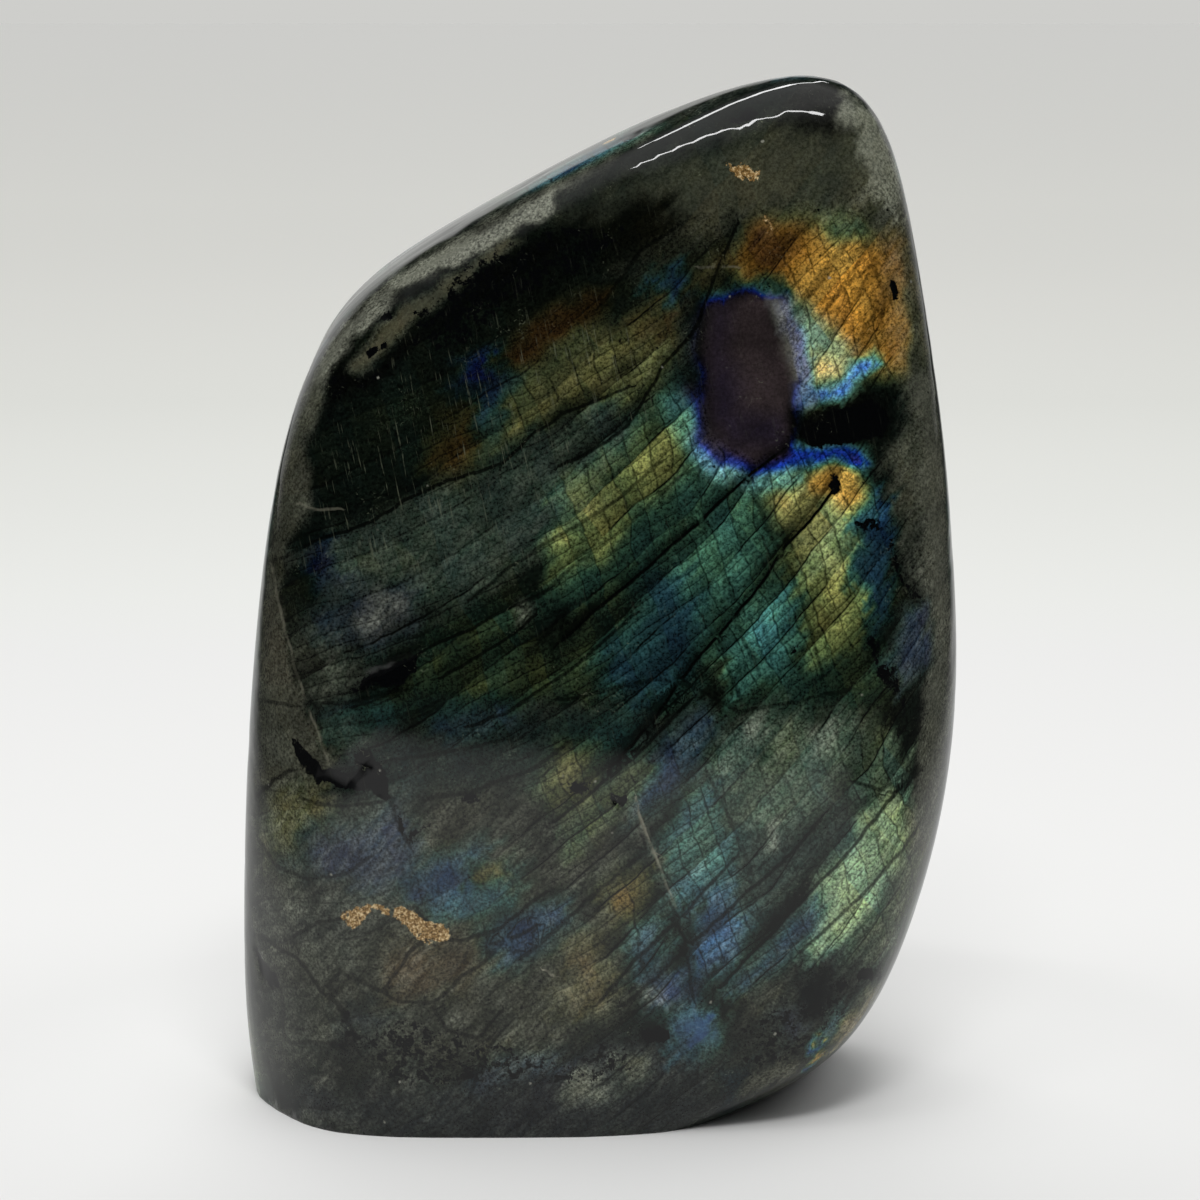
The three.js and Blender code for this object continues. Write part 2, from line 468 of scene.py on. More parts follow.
# %% The quiet upper left
UPPER_LEFT = [
    ("green glimmer", dict(order=0.50, glow=0.014), 30,
     [(350, 400), (420, 370), (455, 440), (420, 480), (340, 470)]),
    ("violet glimmer", dict(order=0.13, glow=0.04), 16, [(456, 355), (500, 352), (502, 392), (462, 394)]),
    ("dark round the violet pane", dict(order=0.15, glow=0.006), 12,
     [(464, 392), (526, 382), (532, 452), (474, 460)]),
    ("violet pane", dict(order=0.13, glow=0.07), 14, [(476, 400), (514, 392), (518, 444), (486, 450)]),
    ("rust streak", dict(order=0.88, glow=0.03), 20,
     [(505, 356), (545, 320), (600, 294), (606, 308), (520, 366)]),
    ("ochre streak", dict(order=0.74, glow=0.04), 26,
     [(420, 474), (444, 420), (474, 400), (482, 452), (436, 486)]),
    ("olive plate", dict(order=0.62, glow=0.16, milk_and_sheen=0.07), 22,
     [(505, 388), (560, 345), (630, 320), (694, 300), (680, 360), (640, 410), (600, 400), (540, 430),
      (500, 465), (478, 455)]),
    ("umber plate", dict(order=0.70, glow=0.05, milk_and_sheen=0.04), 22,
     [(620, 330), (690, 282), (730, 250), (700, 300), (680, 350)]),
    ("grey-green plate", dict(order=0.46, glow=0.06, milk_and_sheen=0.12), 22,
     [(340, 535), (455, 482), (535, 436), (600, 405), (628, 430), (600, 505), (520, 560), (440, 612),
      (330, 600)]),
    ("violet by the bevel", dict(order=0.17, glow=0.03), 18,
     [(302, 550), (336, 545), (346, 586), (312, 590)]),
    ("cloud under the crown", dict(order=0.60, glow=0.04, milk_and_sheen=0.18), 30,
     [(560, 215), (640, 175), (780, 125), (870, 96), (905, 170), (925, 240), (870, 232), (790, 205),
      (700, 235), (620, 262)]),
    ("dim crown", dict(glow=0.0, milk_and_sheen=0.03), 14,
     [(796, 88), (850, 90), (858, 132), (824, 144), (786, 122)]),
    ("bright shoulder", dict(milk_and_sheen=1.5), 14,
     [(850, 96), (872, 106), (900, 170), (904, 216), (886, 208), (862, 146)]),
    ("right margin", dict(order=0.62, glow=0.05, milk_and_sheen=0.24, cleft=0.1), 18,
     [(884, 210), (912, 250), (934, 400), (950, 560), (930, 560), (912, 400), (890, 300)]),
    ("black under the slope", dict(glow=0.004, milk_and_sheen=0.0), 20,
     [(486, 260), (556, 214), (640, 186), (690, 200), (680, 240), (604, 274), (520, 310), (486, 300)]),
    ("blue spot", dict(order=0.22, glow=0.10), 16, [(648, 272), (682, 268), (688, 300), (662, 306)]),
]

# %% The plates across the middle
MIDDLE = [
    ("olive band", dict(order=0.57, glow=0.30), 16,
     [(552, 490), (628, 432), (664, 392), (688, 440), (704, 466), (650, 520), (600, 566), (550, 590)]),
    ("teal band", dict(order=0.48, glow=0.20), 16,
     [(560, 600), (600, 568), (642, 536), (700, 474), (745, 476), (704, 520), (652, 566), (600, 604),
      (560, 626)]),
    ("teal pane", dict(order=0.455, glow=0.36), 16,
     [(694, 536), (746, 480), (768, 530), (782, 552), (760, 582), (732, 618), (704, 640), (684, 600),
      (682, 560)]),
    ("blue pane", dict(order=0.33, glow=0.115), 24,
     [(652, 572), (686, 560), (700, 606), (706, 640), (690, 690), (650, 716), (612, 700), (596, 656),
      (620, 620)]),
    ("sea pane", dict(order=0.42, glow=0.42), 14,
     [(735, 616), (784, 572), (800, 606), (812, 648), (772, 686), (740, 704), (712, 652)]),
    ("straw pane", dict(order=0.57, glow=0.46), 16,
     [(784, 556), (806, 528), (836, 496), (856, 520), (862, 560), (864, 626), (850, 668), (812, 684),
      (798, 622)]),
    ("bright straw", dict(order=0.56, glow=0.68, milk_and_sheen=0.3, cleft=0.6), 14,
     [(798, 520), (834, 500), (850, 536), (842, 570), (804, 566)]),
    ("blue bank", dict(order=0.27, glow=0.075), 12,
     [(866, 500), (892, 496), (896, 560), (890, 620), (872, 640), (862, 580), (862, 530)]),
    ("cyan bank", dict(order=0.33, glow=0.30), 11, [(846, 500), (872, 492), (880, 518), (858, 530)]),
    ("green bands", dict(order=0.50, glow=0.08), 18,
     [(400, 690), (430, 640), (500, 604), (560, 590), (604, 606), (600, 650), (590, 694), (520, 706),
      (450, 706)]),
    ("black between the bands", dict(order=0.5, glow=0.01), 16,
     [(520, 640), (560, 610), (600, 596), (600, 620), (560, 650), (524, 664)]),
    ("dark pool", dict(order=0.48, glow=0.08), 14,
     [(740, 704), (812, 672), (852, 656), (886, 650), (884, 706), (800, 716)]),
    ("blue mottle left", dict(order=0.30, glow=0.03, milk_and_sheen=0.06), 18,
     [(300, 610), (360, 580), (420, 590), (400, 640), (340, 660), (290, 650)]),
    ("dim corner", dict(order=0.5, glow=0.02, milk_and_sheen=0.12), 16,
     [(296, 630), (336, 640), (352, 676), (344, 730), (312, 720), (298, 690)]),
    ("lavender bank", dict(order=0.22, glow=0.11, milk_and_sheen=0.2), 14,
     [(884, 664), (906, 616), (930, 608), (934, 656), (904, 692)]),
    ("margin by the bay", dict(order=0.60, glow=0.03, milk_and_sheen=0.22, cleft=0.1), 12,
     [(888, 450), (910, 430), (928, 520), (908, 540), (896, 500)]),
    ("grey by the bank", dict(order=0.5, glow=0.02, milk_and_sheen=0.14), 14,
     [(900, 520), (940, 500), (950, 600), (940, 620), (912, 590)]),
]

# %% The island, and the flame around it
FLAME = [
    ("gold bed", dict(order=0.76, glow=0.24), 22,
     [(738, 262), (760, 222), (800, 214), (860, 232), (900, 240), (916, 300), (922, 372), (860, 376),
      (800, 320), (750, 284)]),
    ("brown brow", dict(order=0.86, glow=0.10), 16,
     [(738, 262), (752, 226), (800, 226), (806, 250), (780, 282), (750, 282)]),
    ("orange heart", dict(order=0.79, glow=0.90), 24,
     [(796, 262), (826, 236), (862, 240), (872, 290), (862, 340), (822, 318), (798, 300)]),
    ("gold cheek", dict(order=0.76, glow=0.29), 18,
     [(866, 300), (908, 280), (914, 366), (880, 372), (852, 352)]),
    ("green cap", dict(order=0.52, glow=0.26), 12, [(824, 214), (856, 212), (868, 232), (836, 238)]),
    ("pale rim", dict(order=0.50, glow=0.62, milk_and_sheen=0.8), 12,
     [(788, 300), (806, 304), (824, 322), (850, 350), (848, 372), (836, 386), (800, 384), (788, 350)]),
    ("bright cell", dict(order=0.68, glow=0.72), 12,
     [(802, 360), (814, 352), (838, 364), (842, 376), (816, 382)]),
    ("blue lip", dict(order=0.23, glow=1.0, milk_and_sheen=0.2), 6,
     [(796, 392), (822, 402), (844, 398), (858, 382), (882, 366), (876, 355), (850, 364), (838, 382),
      (816, 389), (800, 380)]),
    ("halo of the island", dict(order=0.45, glow=0.34), 14,
     [(690, 400), (690, 430), (716, 462), (756, 482), (800, 476), (860, 470), (860, 450), (800, 440),
      (740, 440), (708, 420)]),
    ("left halo", dict(order=0.42, glow=0.05), 12, [(682, 320), (700, 300), (704, 420), (686, 416)]),
    ("gold shore", dict(order=0.74, glow=0.72), 12,
     [(796, 478), (832, 464), (858, 468), (872, 500), (850, 514), (828, 500), (800, 496)]),
    ("lime shore", dict(order=0.60, glow=0.72, milk_and_sheen=0.15), 14,
     [(760, 486), (800, 480), (826, 500), (806, 530), (776, 524)]),
    ("west shore", dict(order=0.45, glow=0.46, milk_and_sheen=0.1), 13,
     [(662, 396), (690, 382), (702, 424), (722, 456), (744, 474), (716, 480), (686, 452), (664, 424)]),
    ("cyan shore", dict(order=0.37, glow=0.80, milk_and_sheen=0.35), 8,
     [(694, 430), (716, 462), (756, 480), (806, 470), (804, 484), (756, 496), (712, 480), (688, 446)]),
    ("cobalt shore", dict(order=0.125, glow=0.55), 6,
     [(702, 424), (726, 446), (756, 458), (800, 446), (856, 446), (872, 466), (862, 472), (836, 460),
      (800, 467), (756, 478), (720, 465), (698, 440)]),
    ("blue edge, low left", dict(order=0.19, glow=0.16), 9,
     [(688, 386), (700, 384), (712, 436), (700, 444)]),
    ("dim shore, left", dict(glow=0.03), 10,
     [(676, 296), (712, 280), (734, 300), (722, 330), (716, 392), (680, 392)]),
    ("dim shore, right", dict(glow=0.12), 8,
     [(776, 284), (796, 296), (796, 330), (806, 380), (806, 430), (786, 430), (786, 330)]),
    ("outline of the island", dict(order=0.0, cleft=0.0), 9,
     [(700, 306), (722, 298), (742, 288), (766, 284), (788, 292), (790, 310), (784, 328), (798, 346),
      (802, 374), (798, 402), (802, 424), (790, 454), (758, 468), (728, 452), (706, 438), (700, 412),
      (704, 372), (692, 346)]),
    ("island", dict(glow=0.39), 9,
     [(714, 320), (732, 306), (748, 298), (766, 296), (776, 302), (776, 326), (789, 346), (794, 374),
      (790, 402), (794, 424), (782, 448), (757, 460), (732, 442), (716, 428), (714, 408), (716, 374),
      (708, 348)]),
    ("dusk on the island", dict(order=0.04, glow=0.30), 18,
     [(708, 300), (730, 300), (726, 350), (740, 410), (780, 420), (784, 446), (730, 446), (712, 420),
      (706, 350)]),
    ("lavender shore", dict(order=0.14, glow=0.22, milk_and_sheen=0.9), 6,
     [(770, 300), (788, 308), (808, 342), (814, 380), (806, 388), (799, 356), (782, 332)]),
    ("periwinkle chunk", dict(order=0.22, glow=0.34, milk_and_sheen=0.3), 6,
     [(792, 384), (812, 386), (820, 400), (804, 410), (792, 402)]),
    ("dim rim, left", dict(glow=0.015), 6,
     [(680, 296), (700, 294), (706, 310), (702, 344), (703, 372), (700, 398), (686, 398)]),
    ("dark between island and bay", dict(glow=0.01, milk_and_sheen=0.0), 7,
     [(786, 404), (806, 404), (812, 440), (788, 444)]),
    ("black bay", dict(glow=0.0, dark=0.6), 9,
     [(800, 416), (834, 406), (872, 396), (896, 414), (886, 436), (846, 442), (806, 444), (796, 438),
      (799, 428)]),
    ("black heart of the bay", dict(dark=0.9), 8,
     [(812, 436), (834, 416), (876, 404), (882, 432), (846, 444), (812, 446)]),
    ("green knobs", dict(order=0.5, glow=0.10, dark=0.4), 7,
     [(750, 282), (764, 270), (786, 280), (784, 298), (764, 296)]),
]

# %% The veiled lower half
LOWER_RIGHT = [
    ("mist", dict(order=0.48, glow=0.17, milk_and_sheen=0.28, cleft=0.35), 26,
     [(712, 726), (790, 716), (866, 722), (876, 756), (824, 800), (782, 850), (740, 842), (708, 780)]),
    ("periwinkle stripe", dict(order=0.27, glow=0.13, milk_and_sheen=0.14), 14,
     [(628, 828), (650, 748), (694, 704), (724, 716), (700, 762), (660, 800)]),
    ("green stripe", dict(order=0.52, glow=0.16, milk_and_sheen=0.1), 12,
     [(556, 836), (600, 790), (648, 748), (660, 762), (616, 812), (568, 864)]),
    ("sea stripe", dict(order=0.38, glow=0.28, milk_and_sheen=0.16), 14,
     [(656, 850), (690, 800), (716, 780), (742, 850), (744, 900), (704, 920), (672, 902)]),
    ("straw spot", dict(order=0.66, glow=0.16, milk_and_sheen=0.1), 16,
     [(596, 886), (632, 862), (654, 880), (640, 914), (606, 918)]),
    ("blue spot below", dict(order=0.33, glow=0.26, milk_and_sheen=0.16), 18,
     [(622, 924), (654, 914), (672, 940), (652, 964), (630, 956)]),
    ("lilac spot", dict(order=0.26, glow=0.16, milk_and_sheen=0.16), 18,
     [(640, 972), (676, 962), (704, 990), (676, 1008), (650, 1000)]),
    ("blue stripe", dict(order=0.31, glow=0.28, milk_and_sheen=0.18), 14,
     [(700, 900), (738, 886), (752, 920), (732, 966), (700, 972)]),
    ("periwinkle spot", dict(order=0.30, glow=0.30, milk_and_sheen=0.16, cleft=0.0), 16,
     [(668, 1026), (696, 1004), (724, 1016), (716, 1060), (680, 1060)]),
    ("leaf", dict(order=0.545, glow=0.84, milk_and_sheen=0.9, cleft=0.5), 14,
     [(808, 956), (820, 890), (856, 826), (888, 788), (912, 796), (912, 840), (896, 880), (872, 922),
      (840, 954)]),
    ("leaf margin", dict(order=0.52, glow=0.14, milk_and_sheen=0.34), 12,
     [(846, 966), (880, 916), (904, 860), (922, 800), (942, 800), (926, 876), (900, 936), (872, 980)]),
    ("leaf stem", dict(order=0.52, glow=0.30, milk_and_sheen=0.30), 14,
     [(852, 782), (882, 724), (906, 752), (898, 790), (866, 806)]),
    ("slate under the mist", dict(order=0.46, glow=0.09, milk_and_sheen=0.16), 14,
     [(744, 900), (800, 846), (850, 810), (840, 840), (800, 880), (752, 930)]),
    ("slate between the stripes", dict(order=0.46, glow=0.10, milk_and_sheen=0.2), 14,
     [(734, 852), (786, 838), (802, 850), (768, 900), (738, 916)]),
    ("blue under the leaf", dict(order=0.31, glow=0.19, milk_and_sheen=0.16), 15,
     [(728, 984), (770, 944), (816, 904), (824, 916), (792, 956), (752, 990)]),
    ("dark heel", dict(order=0.45, glow=0.012, milk_and_sheen=0.08, cleft=0.12), 16,
     [(730, 1016), (800, 968), (872, 950), (884, 980), (846, 1034), (786, 1080), (716, 1100),
      (712, 1060)]),
    ("grey crust of the heel", dict(order=0.6, glow=0.03, milk_and_sheen=0.24), 12,
     [(748, 1004), (784, 978), (800, 980), (790, 1000), (758, 1012)]),
    ("slate shadow", dict(order=0.35, glow=0.004, milk_and_sheen=0.0), 12,
     [(786, 984), (836, 966), (838, 1000), (812, 1020), (788, 1014)]),
    ("violet smudge", dict(order=0.2, glow=0.04, milk_and_sheen=0.16), 12,
     [(772, 1012), (792, 1006), (796, 1040), (776, 1044)]),
    ("blue smudge", dict(order=0.3, glow=0.03, milk_and_sheen=0.04), 14,
     [(722, 1064), (746, 1060), (752, 1098), (728, 1104)]),
    ("pale foot, right", dict(order=0.6, glow=0.02, milk_and_sheen=0.24), 14,
     [(756, 1064), (800, 1060), (790, 1084), (752, 1096)]),
    ("slate heel", dict(order=0.37, glow=0.16, milk_and_sheen=0.16), 9,
     [(810, 1042), (826, 1014), (842, 1008), (846, 1024), (828, 1048)]),
    ("heel peach", dict(order=0.72, glow=0.16, milk_and_sheen=0.4), 9,
     [(838, 1026), (856, 1004), (876, 988), (884, 996), (860, 1032), (836, 1056)]),
    ("heel blue", dict(order=0.24, glow=0.34), 5, [(802, 1048), (811, 1042), (821, 1060), (811, 1068)]),
    ("heel rainbow", dict(order=0.72, glow=0.40), 4,
     [(812, 1042), (818, 1038), (828, 1054), (822, 1060)]),
]
LOWER_LEFT = [
    ("haze", dict(order=0.55, glow=0.02, milk_and_sheen=0.20), 30,
     [(246, 740), (420, 740), (560, 712), (650, 730), (640, 860), (620, 1000), (560, 1060), (420, 1060),
      (262, 1060), (246, 900)]),
    ("dusk under the veil", dict(order=0.40, glow=0.03, milk_and_sheen=0.04), 20,
     [(330, 740), (420, 728), (560, 706), (640, 704), (650, 740), (600, 790), (520, 790), (420, 800),
      (340, 800)]),
    ("teal under the veil", dict(order=0.40, glow=0.08, milk_and_sheen=0.0), 16,
     [(570, 730), (640, 706), (640, 744), (600, 784), (570, 776)]),
    ("teal edge", dict(order=0.40, glow=0.08), 12,
     [(312, 708), (360, 700), (424, 702), (400, 726), (350, 746), (324, 756)]),
    ("faint blue", dict(order=0.30, glow=0.07), 16, [(430, 712), (500, 700), (520, 716), (450, 746)]),
    ("straw patch", dict(order=0.64, glow=0.15, milk_and_sheen=0.34), 20,
     [(258, 836), (284, 792), (322, 780), (334, 816), (308, 852), (270, 860)]),
    ("lavender patch", dict(order=0.25, glow=0.09, milk_and_sheen=0.24), 24,
     [(330, 824), (400, 800), (422, 850), (392, 900), (330, 892), (300, 862)]),
    ("pale cloud left", dict(order=0.5, glow=0.02, milk_and_sheen=0.28), 30,
     [(258, 890), (330, 880), (400, 930), (340, 960), (262, 950)]),
    ("lime patch", dict(order=0.585, glow=0.17, milk_and_sheen=0.1), 20,
     [(530, 790), (560, 752), (600, 742), (600, 800), (556, 816)]),
    ("blue pool", dict(order=0.31, glow=0.20, milk_and_sheen=0.14), 20,
     [(410, 866), (480, 840), (522, 870), (500, 902), (444, 920), (412, 900)]),
    ("cyan pool", dict(order=0.36, glow=0.22, milk_and_sheen=0.1), 14,
     [(446, 902), (498, 880), (526, 890), (504, 910), (470, 916)]),
    ("tan drop", dict(order=0.66, glow=0.14, milk_and_sheen=0.1), 10,
     [(464, 868), (500, 856), (510, 876), (478, 882)]),
    ("blue by the gold", dict(order=0.285, glow=0.16, milk_and_sheen=0.12), 18,
     [(466, 940), (502, 914), (562, 898), (576, 930), (520, 970), (480, 962)]),
    ("peach left", dict(order=0.70, glow=0.05, milk_and_sheen=0.24), 22,
     [(380, 946), (440, 938), (480, 956), (470, 1000), (390, 1000)]),
    ("peach right", dict(order=0.68, glow=0.11, milk_and_sheen=0.28), 20,
     [(560, 946), (596, 930), (616, 990), (596, 1020), (556, 1010)]),
    ("dark foot", dict(order=0.30, glow=0.016, milk_and_sheen=0.10), 18,
     [(262, 1120), (300, 1090), (480, 1080), (560, 1050), (640, 1040), (700, 1062), (760, 1100),
      (640, 1145), (400, 1145)]),
    ("pale crystals", dict(order=0.6, glow=0.06, milk_and_sheen=1.1), 10,
     [(566, 1076), (580, 1066), (604, 1092), (572, 1104)]),
    ("pale crystals right", dict(order=0.6, glow=0.06, milk_and_sheen=0.45), 14,
     [(606, 1060), (640, 1054), (652, 1082), (614, 1096)]),
    ("blue arc", dict(order=0.29, glow=0.07, milk_and_sheen=0.22), 10,
     [(462, 1084), (486, 1060), (520, 1048), (566, 1056), (566, 1074), (520, 1072), (486, 1090)]),
    ("slate cloud", dict(order=0.34, glow=0.02, milk_and_sheen=0.09), 14,
     [(340, 996), (372, 1000), (400, 1020), (380, 1044), (350, 1030)]),
    ("black cloud", dict(order=0.4, glow=0.0, milk_and_sheen=0.03), 10,
     [(338, 1040), (352, 1036), (364, 1052), (350, 1062)]),
    ("pale knot 1", dict(milk_and_sheen=0.36), 6, [(318, 1072), (332, 1070), (336, 1086), (320, 1088)]),
    ("pale knot 2", dict(milk_and_sheen=0.34), 6, [(368, 1084), (386, 1084), (388, 1100), (370, 1100)]),
    ("pale knot 3", dict(milk_and_sheen=0.32), 6, [(404, 1082), (420, 1080), (422, 1096), (406, 1098)]),
    ("slate knot", dict(order=0.42, glow=0.03, milk_and_sheen=0.24), 12,
     [(398, 1060), (424, 1054), (430, 1078), (404, 1082)]),
    ("tan cloud", dict(order=0.68, glow=0.05, milk_and_sheen=0.24), 12,
     [(482, 1046), (500, 1034), (512, 1044), (496, 1056)]),
    ("pale strokes", dict(milk_and_sheen=0.5), 6, [(450, 1016), (474, 996), (480, 1000), (458, 1022)]),
    ("pale fleck", dict(milk_and_sheen=0.7), 5, [(424, 990), (436, 984), (442, 992), (430, 998)]),
    ("pale foot edge", dict(milk_and_sheen=0.35), 9,
     [(266, 1098), (290, 1112), (360, 1124), (360, 1132), (280, 1118), (262, 1104)]),
]

# %% The margins, the painted reflection on the slope, the pale crystals and the white seam
MARGINS = [
    ("left band", dict(order=0.62, glow=0.02, milk_and_sheen=0.26, cleft=0.08), 5,
     [(240, 790), (240, 560), (284, 400), (300, 352), (326, 372), (306, 440), (312, 510), (280, 548),
      (278, 600), (298, 676), (320, 740), (330, 764), (300, 776)]),
    ("pale knot of the band", dict(milk_and_sheen=0.42), 8, [(264, 734), (282, 736), (284, 760), (266, 758)]),
    ("dark corner of the band", dict(milk_and_sheen=0.06), 8,
     [(262, 572), (276, 556), (312, 548), (296, 566), (276, 580)]),
    # The slope, its lens and its streaks are painted reflection: their milk paints the pale shine of the
    # upturned polish into the colour.
    ("slope", dict(order=0.6, glow=0.0, milk_and_sheen=0.56, cleft=0.0), 9,
     [(284, 420), (318, 320), (366, 262), (450, 205), (540, 158), (640, 110), (700, 92), (640, 136),
      (560, 190), (500, 216), (452, 262), (398, 292), (356, 330), (326, 372)]),
    ("painted reflection lens on the slope", dict(milk_and_sheen=0.2), 8,
     [(424, 246), (460, 228), (500, 212), (520, 208), (484, 226), (440, 246)]),
    ("painted reflection streak", dict(milk_and_sheen=1.6), 6,
     [(388, 288), (412, 266), (452, 246), (500, 224), (540, 198), (556, 190), (548, 204), (506, 234),
      (458, 260), (412, 284)]),
    ("painted reflection strokes", dict(milk_and_sheen=0.95), 6, [(352, 330), (376, 304), (392, 296), (384, 308), (360, 334)]),
    ("painted reflection strokes, upper", dict(milk_and_sheen=0.75), 7,
     [(372, 280), (410, 252), (440, 236), (444, 240), (412, 260), (380, 288)]),
    ("painted reflection strokes, low", dict(milk_and_sheen=0.8), 6,
     [(314, 372), (334, 340), (348, 326), (352, 332), (336, 356), (322, 380)]),
    ("olive lip of the slope", dict(order=0.64, glow=0.04, milk_and_sheen=0.22, cleft=0.0), 5,
     [(348, 366), (370, 340), (402, 306), (440, 286), (480, 256), (512, 232), (520, 236), (500, 256),
      (456, 292), (412, 326), (376, 356), (356, 374)]),
    ("black beside the slope", dict(order=0.5, glow=0.0, milk_and_sheen=0.0, dark=0.5), 9,
     [(318, 420), (322, 384), (344, 356), (350, 372), (380, 358), (414, 330), (460, 296), (504, 260),
      (540, 236), (560, 240), (530, 270), (470, 302), (420, 342), (372, 384), (334, 410)]),
    ("black knot on the slope", dict(dark=0.9), 5, [(374, 316), (388, 308), (392, 320), (380, 324)]),
    ("black knot in the lip", dict(dark=0.9), 5, [(366, 346), (380, 338), (384, 346), (370, 354)]),
    ("right margin of the flame", dict(order=0.62, glow=0.05, milk_and_sheen=0.18, cleft=0.1), 6,
     [(907, 246), (924, 290), (936, 384), (916, 386), (909, 320)]),
    ("right band", dict(order=0.6, glow=0.02, milk_and_sheen=0.42, cleft=0.05), 10,
     [(914, 380), (944, 370), (960, 560), (964, 720), (930, 850), (906, 850), (924, 760), (932, 640),
      (926, 540)]),
    ("right band, low", dict(milk_and_sheen=0.56), 12,
     [(926, 520), (960, 540), (966, 720), (944, 770), (930, 700)]),
    ("crystals by the mist", dict(milk_and_sheen=0.75), 8, [(742, 722), (766, 714), (770, 742), (750, 746)]),
    ("crystals in the mist", dict(milk_and_sheen=0.75), 8, [(814, 728), (838, 724), (838, 752), (818, 758)]),
    ("crystals under the mist", dict(milk_and_sheen=0.9), 5, [(762, 850), (772, 820), (780, 824), (772, 852)]),
    ("white seam", dict(milk_and_sheen=0.4), 6,
     [(634, 796), (642, 798), (650, 836), (660, 862), (654, 868), (644, 842)]),
    ("white seam, lower", dict(milk_and_sheen=0.3), 6, [(656, 866), (664, 866), (676, 906), (670, 908)]),
    ("white fleck", dict(milk_and_sheen=0.4), 5, [(544, 968), (556, 966), (557, 978), (546, 980)]),
    ("white flecks", dict(milk_and_sheen=0.8), 6, [(644, 990), (664, 984), (666, 1004), (650, 1008)]),
    ("crystals on the plate", dict(milk_and_sheen=0.5), 10,
     [(356, 620), (380, 590), (402, 600), (392, 628), (366, 636)]),
    ("crystals in the bands", dict(milk_and_sheen=0.4), 7, [(516, 604), (530, 600), (534, 622), (520, 626)]),
]

# %% The minerals in the stone
MINERALS = [
    ("gold crescent", dict(gold=0.82, milk_and_sheen=0.4), 7,
     [(340, 914), (362, 902), (386, 902), (372, 914), (358, 934), (346, 930)]),
    ("gold crescent, middle", dict(gold=0.85, milk_and_sheen=0.3), 6,
     [(376, 904), (400, 906), (416, 922), (402, 924), (384, 916)]),
    ("gold crescent, right", dict(gold=0.82, milk_and_sheen=0.3), 7,
     [(400, 912), (426, 916), (448, 930), (450, 942), (424, 942), (404, 928)]),
    ("tan chip", dict(gold=0.72), 9, [(722, 162), (744, 160), (758, 168), (752, 184), (738, 182)]),
    ("tan chain", dict(gold=0.62), 9,
     [(750, 210), (764, 210), (778, 226), (790, 240), (776, 238), (758, 224)]),
    ("tan speck", dict(gold=0.7), 7, [(520, 236), (532, 242), (536, 252), (524, 248)]),
    ("black seam", dict(dark=0.97), 6,
     [(288, 738), (300, 742), (312, 760), (320, 772), (312, 780), (298, 766)]),
    ("black seam, middle", dict(dark=0.95), 4,
     [(308, 764), (340, 771), (366, 770), (368, 791), (336, 788), (312, 786)]),
    ("black seam, end", dict(dark=0.97), 4,
     [(358, 750), (375, 747), (391, 772), (390, 804), (374, 796), (361, 778)]),
    ("black lens", dict(dark=0.95), 7,
     [(346, 688), (372, 676), (400, 668), (420, 660), (412, 680), (380, 690)]),
    ("black heel seam", dict(dark=1.0), 4,
     [(640, 1030), (660, 1028), (672, 1044), (664, 1052), (648, 1046)]),
    ("black foot seam", dict(dark=0.95), 4, [(592, 1052), (616, 1046), (620, 1054), (600, 1060)]),
    ("black left chip", dict(dark=0.95), 4, [(252, 950), (262, 948), (276, 980), (266, 986), (256, 968)]),
    ("black right seam", dict(dark=0.72), 12,
     [(862, 636), (874, 632), (880, 660), (900, 676), (908, 700), (908, 740), (900, 736), (896, 700),
      (872, 676)]),
    ("black right crack", dict(dark=0.72), 9,
     [(892, 520), (902, 560), (914, 584), (932, 608), (922, 610), (900, 580), (890, 550)]),
    ("black in the bank", dict(dark=0.66), 9, [(850, 516), (880, 512), (888, 530), (862, 536)]),
    ("black bead", dict(dark=0.95), 5, [(889, 286), (899, 285), (903, 306), (893, 308)]),
    ("heel knot", dict(dark=1.0), 4, [(836, 978), (848, 972), (856, 988), (842, 994)]),
    ("heel knot, small", dict(dark=0.95), 4, [(858, 968), (876, 966), (878, 980), (862, 982)]),
    ("blue-black spot", dict(dark=0.62), 8, [(338, 1012), (352, 1010), (356, 1028), (342, 1030)]),
    ("black spot", dict(dark=0.85), 7, [(826, 476), (838, 474), (842, 490), (832, 494)]),
    ("black blotch", dict(dark=0.95), 12, [(726, 118), (752, 106), (762, 112), (744, 126)]),
    ("black brow", dict(dark=0.62), 12, [(796, 206), (828, 198), (836, 208), (806, 214)]),
    ("black shoulder", dict(dark=0.55), 24,
     [(400, 320), (470, 250), (560, 210), (640, 220), (600, 270), (520, 310), (440, 370)]),
    ("black dab 1", dict(dark=0.7), 6, [(460, 790), (480, 794), (482, 806), (464, 806)]),
    ("black dab 2", dict(dark=0.75), 6, [(568, 780), (586, 782), (588, 796), (572, 798)]),
    ("black stud 2", dict(dark=0.95), 4, [(616, 790), (628, 791), (627, 802), (616, 801)]),
    ("black specks left", dict(dark=0.8), 8,
     [(396, 812), (410, 832), (432, 816), (436, 822), (412, 846), (400, 838)]),
    ("black stud", dict(dark=0.8), 7, [(788, 650), (798, 648), (800, 660), (792, 662)]),
    ("black specks of the foot", dict(dark=0.5), 20,
     [(300, 1040), (420, 1010), (560, 1050), (646, 1030), (640, 1090), (400, 1100)]),
    ("black specks of the heel", dict(dark=0.5), 16,
     [(734, 1010), (850, 970), (860, 1010), (800, 1060), (740, 1090)]),
    ("scratched field", dict(needles=0.75), 40,
     [(340, 400), (470, 330), (620, 310), (660, 400), (560, 520), (420, 600), (310, 560)]),
]

